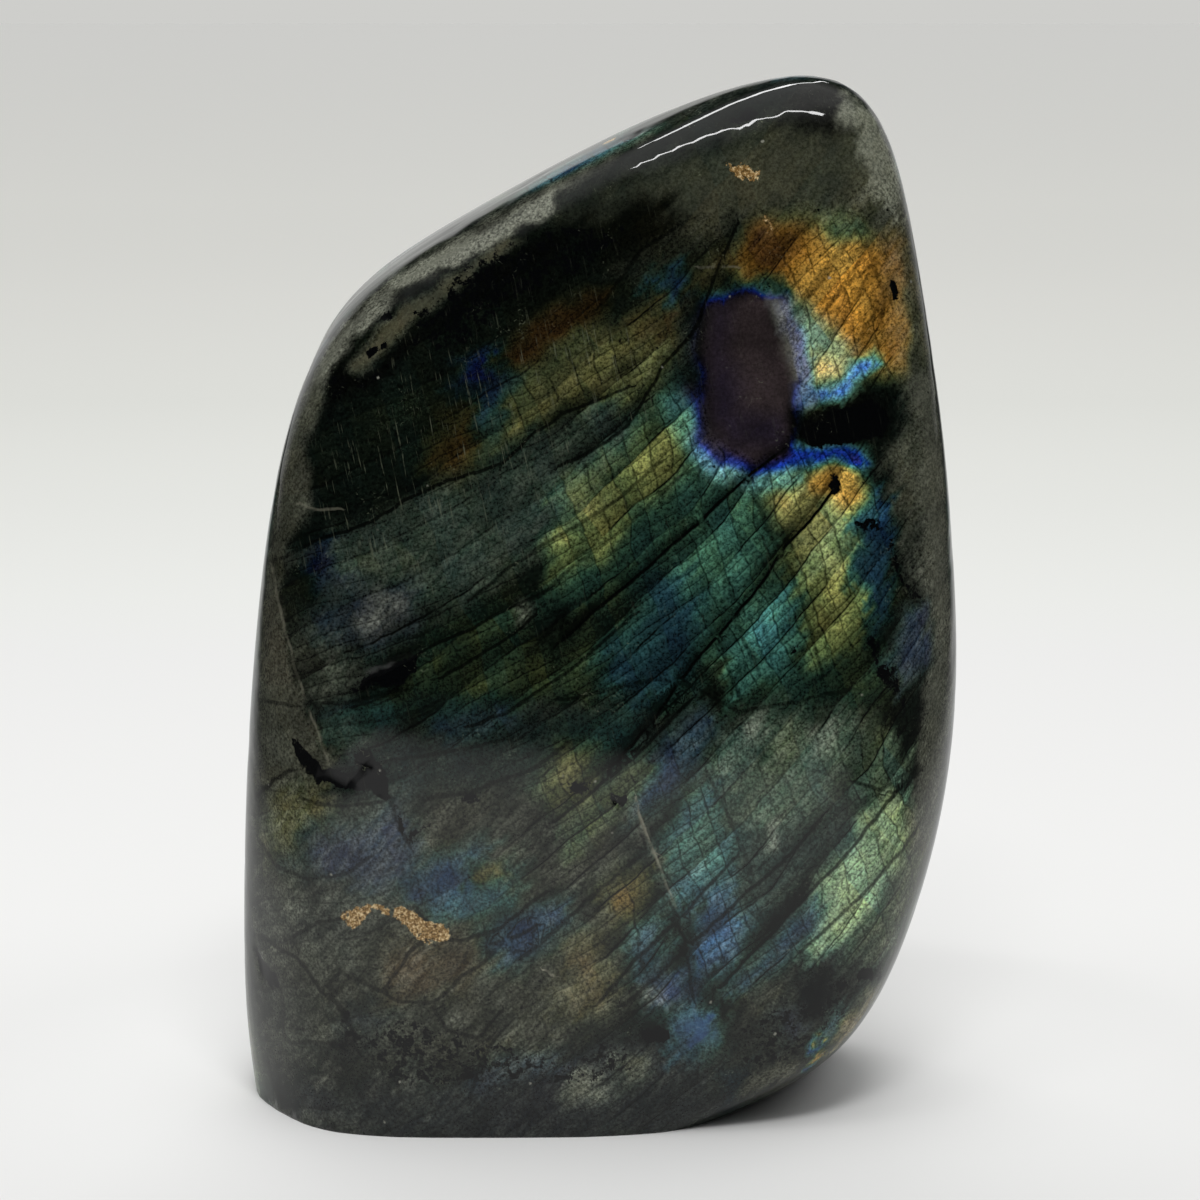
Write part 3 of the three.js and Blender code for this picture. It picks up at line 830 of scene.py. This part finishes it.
# %% [markdown]
# The sides and the back aren't in the picture. They get the same kinds of ground, guessed from how such
# stones look: cloudy grey-green with a few broad dull flashes. Their numbers come from smooth noise, and
# the broad face's patches fade out where the surface turns away.

# %% Laying the patches down
drift = waver(points_mm, 26, 7)
swell = waver(points_mm * (1.0, 1.6, 1.0), 15, 8)
skin = {
    "order": 0.42 + 0.30 * drift + 0.05 * streaks,
    "glow": 0.02 + 0.26 * ease(swell + 0.2 * streaks, 0.05, 0.65),
    "milk_and_sheen": 0.10 + 0.10 * drift,
    "dark": 0.55 * ease(waver(points_mm, 5, 9), 0.2, 0.6),
    "gold": 0.7 * ease(waver(points_mm, 6, 10), 0.58, 0.76),
    "needles": np.full(len(points), 0.15),
    "cleft": np.full(len(points), 0.5),
}
QUIET = {"order": 0.5, "glow": 0.01, "milk_and_sheen": 0.005, "dark": 0.0, "gold": 0.0, "needles": 0.1, "cleft": 0.4}
for name, quiet in QUIET.items():
    skin[name] = skin[name] * (1 - on_front) + quiet * on_front


def lay_patches(patches, brush):
    for name, sets, edge, corners in patches:
        cover = (1 - ease(to_outline(brush, corners), -edge, edge)) * on_front
        for what, value in sets.items():
            skin[what] = skin[what] * (1 - cover) + value * cover
    print("patches laid:", len(patches))


lay_patches(GROUND + UPPER_LEFT + MIDDLE + LOWER_LEFT + LOWER_RIGHT, feathered_brush)
lay_patches(FLAME, calm_brush)
lay_patches(MARGINS + MINERALS, smooth_brush)

# %% [markdown]
# ## The cracks
# Labradorite splits along planes. The largest partings are drawn as lines on the broad face. Points are too
# far apart to hold a thin dark line, so each one holds how far it is from the nearest crack and on which
# side. Between two points on opposite sides that number passes through nothing exactly at the crack, and
# there the shader draws a line as thin as it likes.

# %% The lines of the large cracks, with how strong each one is (less than nothing: a pale healed seam)
CRACKS = [
    (1.0, [(560, 642), (600, 606), (640, 574), (700, 522), (752, 474), (786, 448)]),
    (1.0,
     [(606, 772), (652, 722), (676, 686), (702, 652), (732, 622), (762, 582), (784, 546), (804, 526),
      (836, 486)]),
    (0.9, [(560, 466), (600, 446), (628, 424), (664, 364), (696, 328), (718, 268), (736, 226)]),
    (0.9,
     [(302, 546), (334, 536), (362, 526), (402, 502), (454, 478), (502, 462), (534, 434), (570, 410),
      (600, 398), (632, 384)]),
    (0.7, [(470, 600), (510, 566), (550, 542), (600, 510), (632, 488), (664, 462)]),
    (0.6, [(526, 610), (574, 566), (628, 526), (684, 476), (706, 462)]),
    (0.9, [(398, 668), (442, 642), (478, 624), (512, 606), (548, 590)]),
    (0.9, [(442, 678), (478, 656), (518, 632), (540, 612)]),
    (0.8, [(470, 726), (506, 712), (542, 690), (574, 668), (600, 644), (634, 612)]),
    (0.9, [(556, 822), (600, 784), (640, 750), (662, 728), (690, 700)]),
    (0.7, [(520, 960), (560, 928), (600, 888), (632, 862), (656, 848)]),
    (0.8, [(598, 1002), (640, 956), (680, 920), (702, 894), (734, 858)]),
    (0.8, [(622, 1006), (664, 972), (696, 940), (744, 896), (780, 866), (818, 822)]),
    (0.9, [(720, 986), (760, 944), (800, 904), (840, 860), (880, 814), (902, 786)]),
    (0.8, [(800, 954), (840, 920), (880, 876), (904, 848), (914, 830)]),
    (0.7, [(634, 800), (646, 848), (656, 862), (664, 882), (672, 906), (686, 942), (694, 1000)]),
    (0.5, [(708, 772), (732, 824), (752, 876)]),
    (0.6, [(720, 640), (732, 680), (740, 700)]),
    (0.5, [(736, 620), (758, 674)]),
    (0.4, [(760, 606), (772, 660)]),
    (0.6, [(746, 476), (766, 528), (792, 572), (804, 610), (822, 674)]),
    (0.4, [(700, 520), (722, 570), (736, 600)]),
    (0.6, [(800, 430), (806, 452), (812, 470), (800, 500)]),
    (0.6, [(562, 700), (610, 690), (660, 678), (700, 690), (740, 712), (790, 704), (850, 690)]),
    (0.7, [(600, 306), (640, 250), (676, 228)]),
    (0.5, [(868, 240), (876, 270), (884, 300), (880, 330)]),
    (0.6, [(820, 320), (846, 280), (872, 244)]),
    (0.5, [(800, 300), (830, 262), (850, 236)]),
    (0.6, [(790, 450), (770, 470), (756, 500), (764, 528)]),
    (0.5, [(312, 700), (334, 760)]),
    (0.6, [(306, 704), (350, 702), (400, 690)]),
    (0.5, [(340, 726), (400, 716), (440, 702)]),
    (0.75, [(420, 912), (446, 940), (500, 944), (540, 926)]),
    (0.6, [(560, 642), (566, 612), (540, 640)]),
    (0.7, [(856, 782), (884, 790), (906, 772)]),
    (0.7, [(430, 1000), (446, 1030), (480, 1036), (500, 1010)]),
    (0.7, [(330, 990), (348, 1024), (360, 1040)]),
    (0.6, [(250, 700), (290, 704)]),
    (0.6, [(252, 572), (276, 560), (306, 546)]),
    (0.5, [(792, 322), (814, 290), (842, 252), (860, 226)]),
    (0.4, [(832, 336), (858, 296), (880, 252)]),
    (0.4, [(850, 352), (882, 300), (902, 262)]),
    (0.4, [(772, 262), (790, 240), (806, 226)]),
    (0.6, [(258, 935), (275, 942), (295, 938), (320, 922), (346, 918)]),
    (0.55, [(265, 965), (280, 990), (282, 1020), (286, 1042), (330, 1044)]),
    (0.75, [(275, 945), (300, 960), (315, 985), (330, 1000), (344, 1012), (348, 1024)]),
    (0.6, [(318, 988), (340, 970), (370, 985), (400, 1000), (430, 1004)]),
    (0.7, [(384, 990), (400, 966), (416, 946), (430, 936)]),
    (0.8, [(470, 938), (500, 930), (530, 904), (546, 893)]),
    (0.6, [(470, 1100), (480, 1062), (498, 1036)]),
    (0.6, [(400, 1102), (396, 1086), (424, 1062), (420, 1048)]),
    (0.7, [(436, 1000), (460, 976), (490, 960), (504, 940)]),
    (0.6, [(300, 800), (330, 806), (380, 802)]),
    (0.6, [(258, 840), (276, 866), (310, 880), (350, 872), (370, 856)]),
    (0.7, [(252, 800), (272, 782), (290, 770)]),
    (0.6, [(392, 802), (398, 826), (410, 846)]),
    (0.6, [(330, 770), (390, 762), (450, 752), (500, 740)]),
    (0.7, [(430, 800), (480, 790), (530, 770), (570, 744)]),
    (-0.45, [(264, 540), (270, 566), (282, 616), (296, 664), (306, 700), (318, 732), (328, 762)]),
    (-0.35, [(300, 504), (318, 510), (340, 508)]),
    (-0.9, [(636, 796), (643, 820), (650, 842), (657, 862)]),
    (-0.7, [(657, 862), (668, 890), (676, 908)]),
    (-1.4, [(546, 970), (554, 975)]),
    (1.0, [(310, 772), (340, 779), (366, 774)]),
    (-0.3, [(700, 268), (738, 266)]),
]

# %% Distance from each point to the nearest crack, in millimetres
CRACK_REACH = 4.0

wavering = pixels + 3 * coarse_waver + 1.5 * fine_waver
far = np.full(len(points), CRACK_REACH)
side = np.full(len(points), CRACK_REACH)
weight = np.zeros(len(points))
for strength, line in CRACKS:
    for start, end in zip(line, line[1:]):
        gap, which = to_segment(wavering, start, end)
        gap = gap / PIXELS_PER_MM
        nearer = gap < far
        far[nearer] = gap[nearer]
        side[nearer] = (gap * which)[nearer]
        weight[nearer] = strength
weight *= on_front
print("cracks:", len(CRACKS), "; points within 1 mm of one:", int((far < 1).sum()))


# %% The numbers go into the mesh as colour attributes
def lay_down(piece, name, channels):
    values = np.ones((len(piece.data.vertices), 4), dtype=np.float32)
    for slot, channel in enumerate(channels):
        values[:, slot] = channel
    layer = piece.data.color_attributes.new(name, "FLOAT_COLOR", "POINT")
    layer.data.foreach_set("color", values.ravel())


lay_down(stone, "layers", (skin["order"], skin["glow"], skin["milk_and_sheen"], skin["cleft"]))
lay_down(stone, "minerals", (skin["dark"], skin["gold"], skin["needles"]))
lay_down(stone, "cracks", (side, far, weight))

# %% [markdown]
# ## Real relief
# Hand grinding leaves faint furrows on the long slope, which show as streaks in its shine, and black
# mineral crumbles out under the wheel and leaves shallow pits. Both are moved points, not shading, so that
# the shine follows them.

# %% Furrows on the slope, pits in the black mineral
FURROW_DEPTH = 0.07 * MM
PIT_DEPTH = 0.14 * MM
# The length and width are in millimetres, as points_mm is.
FURROW_LENGTH = 16
FURROW_WIDTH = 2.6

on_slope = ease(facing[:, 2], 0.35, 0.7) * ease(-facing[:, 0], 0.1, 0.4)
furrow_place = points_mm / (FURROW_LENGTH, FURROW_WIDTH, FURROW_LENGTH)
furrows = waver(furrow_place, 1, 11) * on_slope
crumble = np.clip(skin["dark"] * (0.6 + 0.8 * fine_waver[:, 0]), 0, 1) * (points[:, 2] > 0.5 * MM)
sunk = FURROW_DEPTH * (furrows - furrows.max()) * (on_slope > 0) - PIT_DEPTH * crumble
points = points + facing * sunk[:, None]
stone.data.vertices.foreach_set("co", points.ravel())
stone.data.update()
print("deepest pit:", round(float(crumble.max() * PIT_DEPTH / MM), 3), "mm")

# %% [markdown]
# ## The finish
# Under a clear polish lie the flashing layers. The recipe runs in that order: first the place in the stone,
# measured along and across the cleavage; then the sheets that the cleavage splits it into; then order and
# glow, turned into colour by a ramp; then cracks, minerals and scratches; and last the polish, as a clear
# coat over a matt ground.

# %% Place along and across the cleavage
labradorite = bpy.data.materials.new("polished_labradorite")
skin_of = Circuit(labradorite)
inside = skin_of.box("ShaderNodeTexCoord", {}).outputs["Object"]
inside = skin_of.box("ShaderNodeVectorMath", {0: inside, "Scale": 1 / MM}, operation="SCALE").outputs[0]
parts = skin_of.box("ShaderNodeSeparateXYZ", {"Vector": inside})
across, deep, high = parts.outputs[0], parts.outputs[1], parts.outputs[2]
ripple = skin_of.speckle(inside, 0.07, 1.0)
fret = skin_of.speckle(inside, 0.5, 2.0)
cloud = skin_of.speckle(inside, 0.2, 4.0, 0.62)
grain = skin_of.speckle(inside, 2.7, 3.0, 0.75)

rise = skin_of.sum("MULTIPLY", across, skin_of.sum("MULTIPLY_ADD", across, SHEET_BEND, SHEET_SLOPE))
level = skin_of.sum("MULTIPLY_ADD", ripple, 5.0, skin_of.sum("SUBTRACT", high, rise))
level = skin_of.sum("MULTIPLY_ADD", fret, 0.7, level)
run = skin_of.sum("MULTIPLY_ADD", high, 0.8, across)
tilted_level = skin_of.sum("MULTIPLY_ADD", run, 0.14, level)
steep = skin_of.sum("MULTIPLY_ADD", high, 0.36, across)
steep = skin_of.sum("MULTIPLY_ADD", ripple, 6.0, skin_of.sum("MULTIPLY_ADD", fret, 1.2, steep))


# %% [markdown]
# A set of sheets is the level divided by their thickness. Its whole part says which sheet, its fraction how
# far through that sheet. Each sheet shines most along its upper side, just below the crack, and sinks into
# the shade of the next: that is what makes the face look like overlapping slates.

# %% Sets of sheets
# The thickness of each set, in millimetres, and how many pieces of a sheet there are to a millimetre.
THICK_SHEETS = 5.6
THIN_SHEETS = 1.9
CROSSING_SHEETS = 2.7
PIECE_RATE = 0.03


def sheets(level, thickness, seed):
    """How far through its sheet each place is, how far (mm) from its side, and chances for each sheet."""
    count = skin_of.sum("MULTIPLY_ADD", level, 1 / thickness, seed)
    through = skin_of.sum("FRACT", count)
    which = skin_of.sum("FLOOR", count)
    along = skin_of.sum("MULTIPLY_ADD", run, PIECE_RATE, skin_of.sum("MULTIPLY", which, 0.37))
    place = skin_of.place(which, skin_of.sum("FLOOR", along), seed)
    chance = skin_of.box("ShaderNodeTexWhiteNoise", {"Vector": place}, noise_dimensions="3D")
    chances = skin_of.box("ShaderNodeSeparateColor", {"Color": chance.outputs["Color"]})
    nearer_side = skin_of.sum("MINIMUM", through, skin_of.sum("SUBTRACT", 1.0, through))
    return through, skin_of.sum("MULTIPLY", nearer_side, thickness), chances


thick, thick_side, thick_chance = sheets(level, THICK_SHEETS, 0.3)
thin, thin_side, _ = sheets(tilted_level, THIN_SHEETS, 0.6)
_, cross_side, cross_chance = sheets(steep, CROSSING_SHEETS, 0.1)

# %% Order and glow, turned into colour
FLASH = [
    (0.00, screen(74, 62, 64)),
    (0.05, screen(58, 48, 72)),
    (0.10, screen(34, 42, 124)),
    (0.16, screen(26, 66, 190)),
    (0.24, screen(46, 108, 184)),
    (0.32, screen(84, 150, 178)),
    (0.40, screen(90, 160, 150)),
    (0.48, screen(98, 156, 122)),
    (0.56, screen(138, 162, 98)),
    (0.64, screen(190, 186, 104)),
    (0.72, screen(214, 174, 84)),
    (0.80, screen(216, 156, 60)),
    (0.90, screen(150, 98, 54)),
    (1.00, screen(112, 68, 50)),
]


def carried(name):
    """Reads the numbers that the skin carries under the given name."""
    layer = skin_of.box("ShaderNodeAttribute", {}, attribute_name=name)
    first_three = skin_of.box("ShaderNodeSeparateColor", {"Color": layer.outputs["Color"]}).outputs
    return *first_three, layer.outputs["Alpha"]


order, glow, milk_and_sheen, cleft = carried("layers")
dark, gold, needle_field, _ = carried("minerals")
crack_side, crack_gap, crack_strength, _ = carried("cracks")

uneven = skin_of.sum("MULTIPLY_ADD", thick_chance.outputs[0], 0.07, -0.035)
uneven = skin_of.sum("ADD", uneven, skin_of.sum("MULTIPLY_ADD", cross_chance.outputs[0], 0.05, -0.025))
uneven = skin_of.sum("ADD", uneven, skin_of.sum("MULTIPLY_ADD", cloud, 0.16, -0.08))
uneven = skin_of.sum("MULTIPLY", uneven, skin_of.step(order, 0.0, 0.2, 0.05, 1.0))
flash = skin_of.ramp(skin_of.sum("ADD", order, uneven), FLASH)

slate = skin_of.step(thick, 0.0, 0.85, 0.5, 1.3)
slate = skin_of.sum("MULTIPLY", slate, skin_of.step(thin, 0.0, 0.9, 0.75, 1.2))
slate = skin_of.sum("MULTIPLY", slate, skin_of.step(thick_chance.outputs[1], 0.0, 1.0, 0.72, 1.28))
slate = skin_of.sum("MULTIPLY", slate, skin_of.step(cross_chance.outputs[1], 0.0, 1.0, 0.76, 1.24))
slate = skin_of.sum("MULTIPLY_ADD", cleft, skin_of.sum("SUBTRACT", slate, 1.0), 1.0)
share = skin_of.sum("MULTIPLY", slate, skin_of.step(cloud, 0.3, 0.7, 0.66, 1.34))
strength = skin_of.sum("MULTIPLY", glow, share)

# %% The stone itself, dark or cloudy, and pale where a reflection is painted on the slope
DEEP = screen(5, 6, 5)
CLOUDY_AND_SHEEN = screen(112, 114, 102)
crackle = skin_of.speckle(inside, 0.65, 4.0, 0.7)
fibre_place = skin_of.place(
    skin_of.sum("MULTIPLY_ADD", high, 0.16, skin_of.sum("MULTIPLY", across, 0.13)),
    skin_of.sum("MULTIPLY", deep, 0.3),
    skin_of.sum("MULTIPLY_ADD", high, 0.9, skin_of.sum("MULTIPLY", across, -1.1)),
)
fibres = skin_of.speckle(fibre_place, 1.0, 3.0, 0.6)
mottle = skin_of.step(cloud, 0.32, 0.68, 0.6, 1.5)
mottle = skin_of.sum("MULTIPLY", mottle, skin_of.step(fibres, 0.32, 0.68, 0.55, 1.5))
mottle = skin_of.sum("MULTIPLY", mottle, skin_of.step(crackle, 0.36, 0.64, 0.8, 1.25))
mottling = skin_of.step(cleft, 0.0, 0.25, 0.3, 1.0)
mottle = skin_of.sum("MULTIPLY_ADD", mottling, skin_of.sum("SUBTRACT", mottle, 1.0), 1.0)
# On the slope this pale body from milk is a painted reflection of the polish.
cloudiness_and_sheen = skin_of.sum("MULTIPLY", skin_of.sum("MULTIPLY", milk_and_sheen, mottle), slate)
body = skin_of.blend(cloudiness_and_sheen, (*DEEP, 1), (*CLOUDY_AND_SHEEN, 1))
lit = skin_of.box("ShaderNodeVectorMath", {0: flash, "Scale": strength}, operation="SCALE").outputs[0]
colour = skin_of.box("ShaderNodeVectorMath", {0: body, 1: lit}, operation="ADD").outputs[0]
dust = skin_of.step(grain, 0.3, 0.7, 0.25, 1.8)
dusting = skin_of.step(cleft, 0.0, 0.12, 0.4, 1.0)
dust = skin_of.sum("MULTIPLY_ADD", dusting, skin_of.sum("SUBTRACT", dust, 1.0), 1.0)
colour = skin_of.box("ShaderNodeVectorMath", {0: colour, "Scale": dust}, operation="SCALE").outputs[0]

# %% Cracks: the drawn ones with the shade beside them, and the small ones along the sheets
crooked = skin_of.sum("ADD", crack_side, skin_of.sum("MULTIPLY_ADD", fret, 0.5, -0.25))
by_crack = skin_of.sum("MULTIPLY", crack_strength, skin_of.step(crack_gap, 2.2, 3.4, 1.0, 0.0))
shaded = skin_of.step(crooked, -2.4, -0.1)
shaded = skin_of.sum("MULTIPLY", shaded, skin_of.step(crooked, -0.1, 0.15, 1.0, 0.0))
shaded = skin_of.sum("MULTIPLY", shaded, skin_of.step(crack_strength, 0.7, 1.0, 0.06, 0.8))
drawn = skin_of.step(skin_of.sum("ABSOLUTE", crooked), 0.1, 0.38, 1.0, 0.0)
drawn = skin_of.sum("MULTIPLY", drawn, skin_of.step(crack_gap, 0.7, 1.1, 1.0, 0.0))
drawn = skin_of.sum("MULTIPLY", skin_of.sum("MAXIMUM", drawn, shaded), by_crack)

here_and_there = skin_of.step(skin_of.speckle(inside, 0.11, 2.0, 0.6), 0.42, 0.56)
partings = skin_of.sum("MULTIPLY", skin_of.step(thick_side, 0.05, 0.28, 0.9, 0.0), here_and_there)
hairlines = skin_of.step(thin_side, 0.03, 0.18, 0.6, 0.0)
hairlines = skin_of.sum("MULTIPLY", hairlines, skin_of.step(cloud, 0.38, 0.5))
hairlines = skin_of.sum("MULTIPLY", hairlines, skin_of.step(crackle, 0.3, 0.42))
crossings = skin_of.step(cross_side, 0.04, 0.22, 0.7, 0.0)
crossings = skin_of.sum("MULTIPLY", crossings, skin_of.step(glow, 0.05, 0.16))
crossings = skin_of.sum("MULTIPLY", crossings, skin_of.step(crackle, 0.34, 0.5))
parted = skin_of.sum("MAXIMUM", skin_of.sum("MAXIMUM", partings, hairlines), crossings)
parted = skin_of.sum("MULTIPLY", parted, skin_of.step(cleft, 0.0, 0.6))
cracked = skin_of.sum("MAXIMUM", drawn, parted)
colour = skin_of.blend(cracked, colour, (*screen(3, 4, 3), 1))
seam = skin_of.step(skin_of.sum("ABSOLUTE", crooked), 0.05, 0.24, 1.0, 0.0)
seam = skin_of.sum("MULTIPLY", seam, skin_of.step(crack_gap, 0.5, 0.9, 1.0, 0.0))
seam = skin_of.sum("MULTIPLY", seam, skin_of.step(crackle, 0.4, 0.56, 0.25, 1.0))
healed = skin_of.sum("MAXIMUM", 0.0, skin_of.sum("MULTIPLY", crack_strength, -1.0))
seam = skin_of.sum("MULTIPLY", seam, healed)
colour = skin_of.blend(skin_of.sum("MULTIPLY", seam, 0.7), colour, (*screen(146, 144, 126), 1))


# %% Minerals, scratches and specks
def ragged_patch(amount, softness=0.06):
    """Turns a soft patch into one with a crisp, ragged edge."""
    ragged = skin_of.speckle(inside, 0.8, 5.0, 0.78)
    lifted = skin_of.sum("MULTIPLY_ADD", ragged, 1.5, skin_of.sum("SUBTRACT", amount, 1.25))
    return skin_of.step(lifted, 0.0, softness)


GOLD = [(0.34, screen(60, 46, 28)), (0.5, screen(150, 116, 66)), (0.64, screen(228, 206, 160))]
gold_grain = skin_of.ramp(grain, GOLD)
colour = skin_of.blend(ragged_patch(gold, 0.04), colour, gold_grain)
colour = skin_of.blend(ragged_patch(dark), colour, (*screen(5, 6, 7), 1))

across_needles = skin_of.sum("MULTIPLY_ADD", high, 0.9, skin_of.sum("MULTIPLY", across, 4.2))
needle_place = skin_of.place(across_needles, deep, skin_of.sum("MULTIPLY", high, 0.16))
needles = skin_of.step(skin_of.speckle(needle_place, 1.0, 1.0), 0.62, 0.74, 0.0, 0.32)
needles = skin_of.sum("MULTIPLY", needles, needle_field)
needles = skin_of.sum("MULTIPLY", needles, skin_of.step(crackle, 0.4, 0.6))
scuffs = skin_of.step(skin_of.sum("ABSOLUTE", skin_of.sum("SUBTRACT", fret, 0.5)), 0.002, 0.014, 0.35, 0.0)
scuffs = skin_of.sum("MULTIPLY", scuffs, skin_of.step(grain, 0.5, 0.66))
scuffs = skin_of.sum("MULTIPLY", scuffs, skin_of.step(cloud, 0.52, 0.62))
marks = skin_of.sum("MAXIMUM", needles, scuffs)
colour = skin_of.blend(marks, colour, (*screen(140, 146, 122), 1))

dots = skin_of.cells(inside, 0.5)
chosen = skin_of.box("ShaderNodeSeparateColor", {"Color": dots.outputs["Color"]})
blot = skin_of.sum("ADD", dots.outputs["Distance"], skin_of.sum("MULTIPLY_ADD", grain, 0.25, -0.125))
blot = skin_of.step(blot, 0.04, 0.13, 1.0, 0.0)
pale_dots = skin_of.sum("MULTIPLY", blot, skin_of.step(chosen.outputs[0], 0.93, 0.95, 0.0, 0.5))
black_dots = skin_of.sum("MULTIPLY", blot, skin_of.step(chosen.outputs[1], 0.8, 0.82, 0.0, 0.9))
colour = skin_of.blend(black_dots, colour, (*screen(5, 6, 5), 1))
colour = skin_of.blend(pale_dots, colour, (*screen(180, 180, 166), 1))

# %% The polish
polished = skin_of.box(
    "ShaderNodeBsdfPrincipled",
    {
        "Base Color": colour,
        "Roughness": 0.6,
        "Specular IOR Level": 0.0,
        "Coat Weight": 0.68,
        "Coat Roughness": 0.03,
        "Coat IOR": 1.5,
    },
)
skin_of.box("ShaderNodeOutputMaterial", {"Surface": polished.outputs[0]})
stone.data.materials.append(labradorite)
print("boxes in the finish:", len(labradorite.node_tree.nodes))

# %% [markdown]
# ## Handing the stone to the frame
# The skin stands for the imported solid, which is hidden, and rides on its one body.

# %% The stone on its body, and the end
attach(stone, "root")
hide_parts("labradorite_stone")
